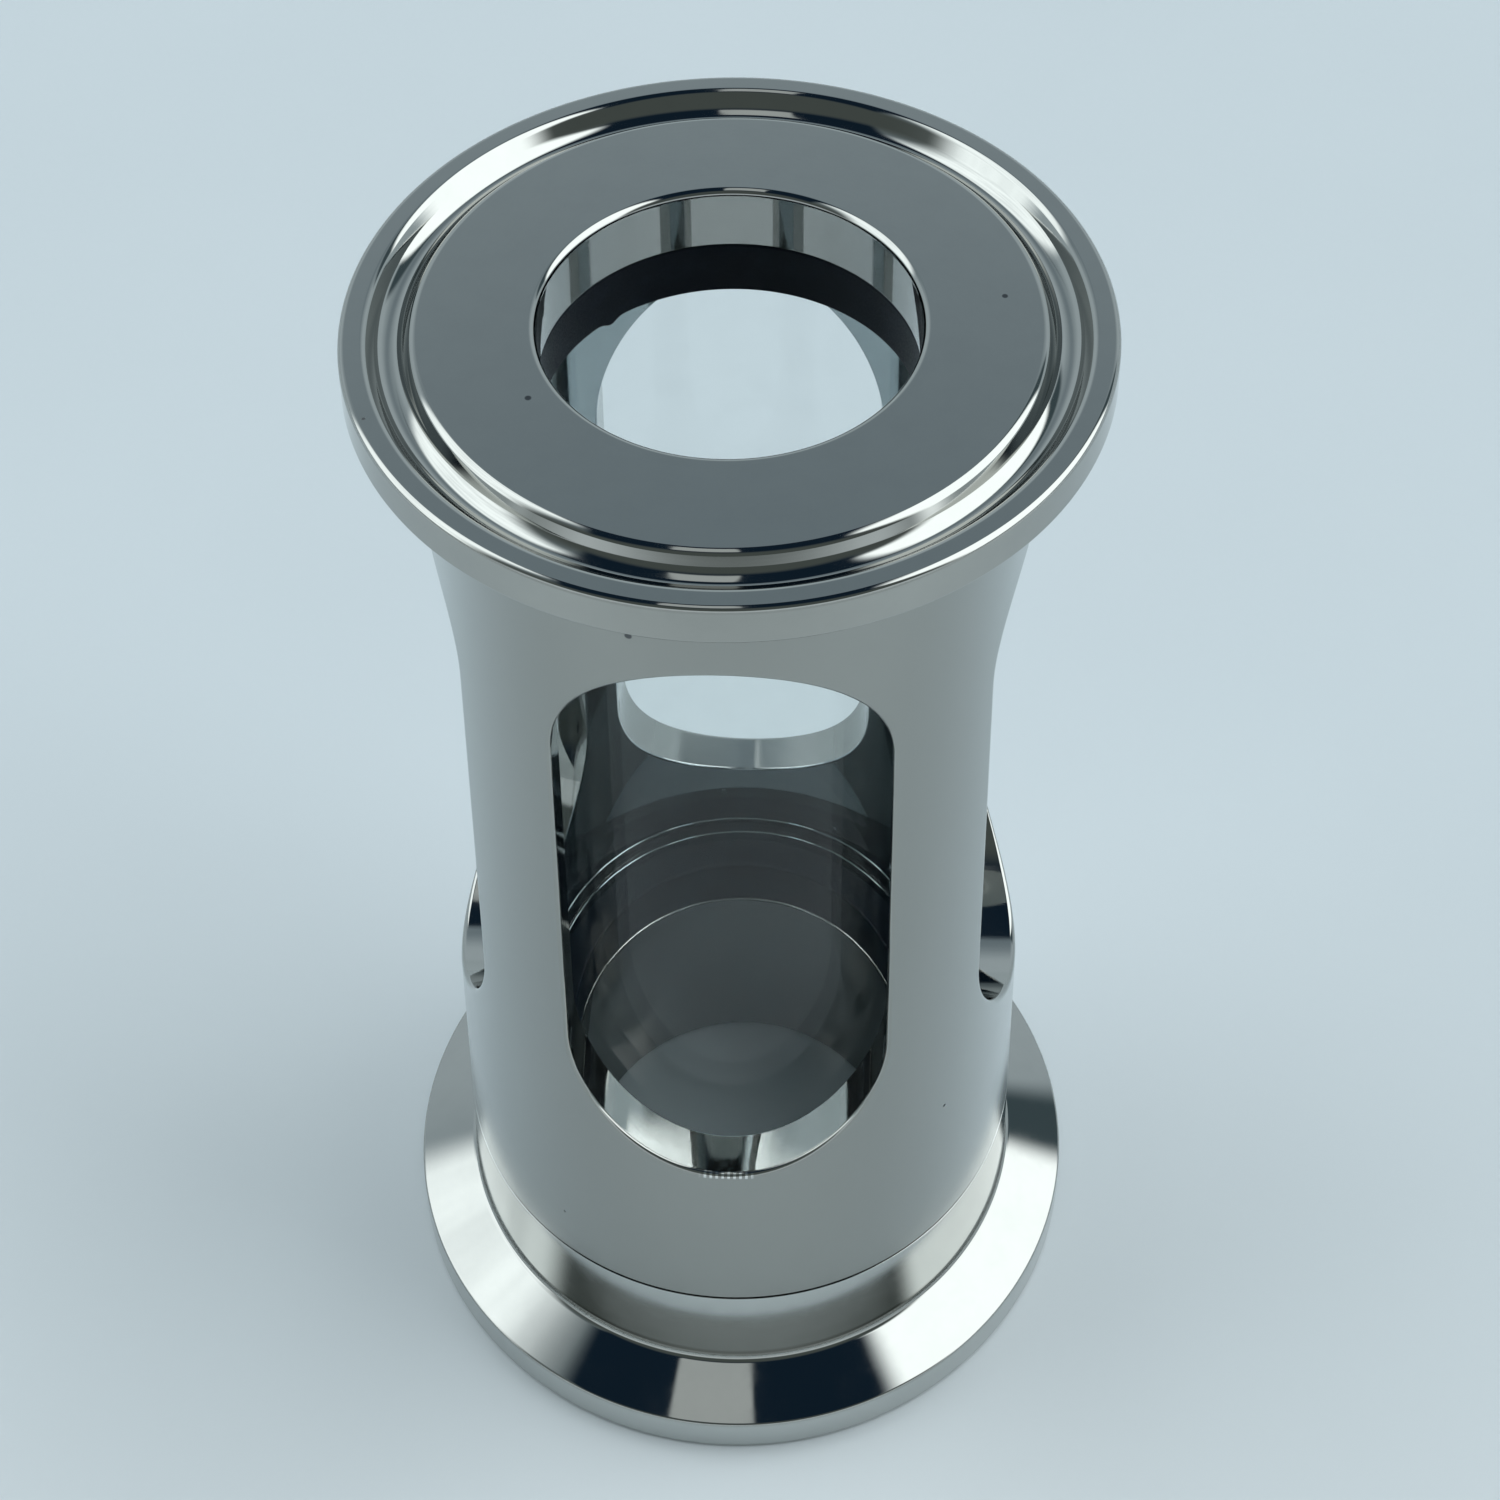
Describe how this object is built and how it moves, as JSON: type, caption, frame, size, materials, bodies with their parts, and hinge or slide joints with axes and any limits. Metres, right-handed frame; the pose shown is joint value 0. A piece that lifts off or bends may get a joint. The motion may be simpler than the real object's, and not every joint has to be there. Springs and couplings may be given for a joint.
{
  "type": "tubular sight glass",
  "caption": "In-line sight glass for pipework: a windowed steel guard around a clear glass tube, sealed by flat gaskets between two clamp ferrules, the lower one screwed in.",
  "frame": {"origin": "centre of the lower clamp face, on the pipe axis", "axes": "+Z along the pipe axis, from the lower ferrule to the upper one; the windows face +X, -X, +Y and -Y"},
  "size_m": [0.0506, 0.0506, 0.0894],
  "materials": {
    "polished_steel": "stainless steel, turned and polished almost to a mirror",
    "clear_glass": "clear borosilicate tube with ground ends",
    "black_rubber": "matt black elastomer sheet"
  },
  "bodies": {
    "guard": {"guard_body": "polished_steel", "upper_gasket": "black_rubber"},
    "glass_stack": {"glass_tube": "clear_glass", "lower_gasket": "black_rubber"},
    "ferrule": {"lower_ferrule": "polished_steel"}
  },
  "joints": [
    {"name": "stack_travel", "type": "slide", "parent": "guard", "child": "glass_stack", "axis": [0, 0, -1], "range_m": [0, 0.0081]},
    {"name": "ferrule_thread", "type": "hinge", "parent": "glass_stack", "child": "ferrule", "pos_m": [0, 0, 0.01215], "axis": [0, 0, -1], "range_deg": [0, 1440]}
  ],
  "couplings": [
    {"joint": "stack_travel", "follows": "ferrule_thread", "m_per_rad": 0.00031831}
  ]
}
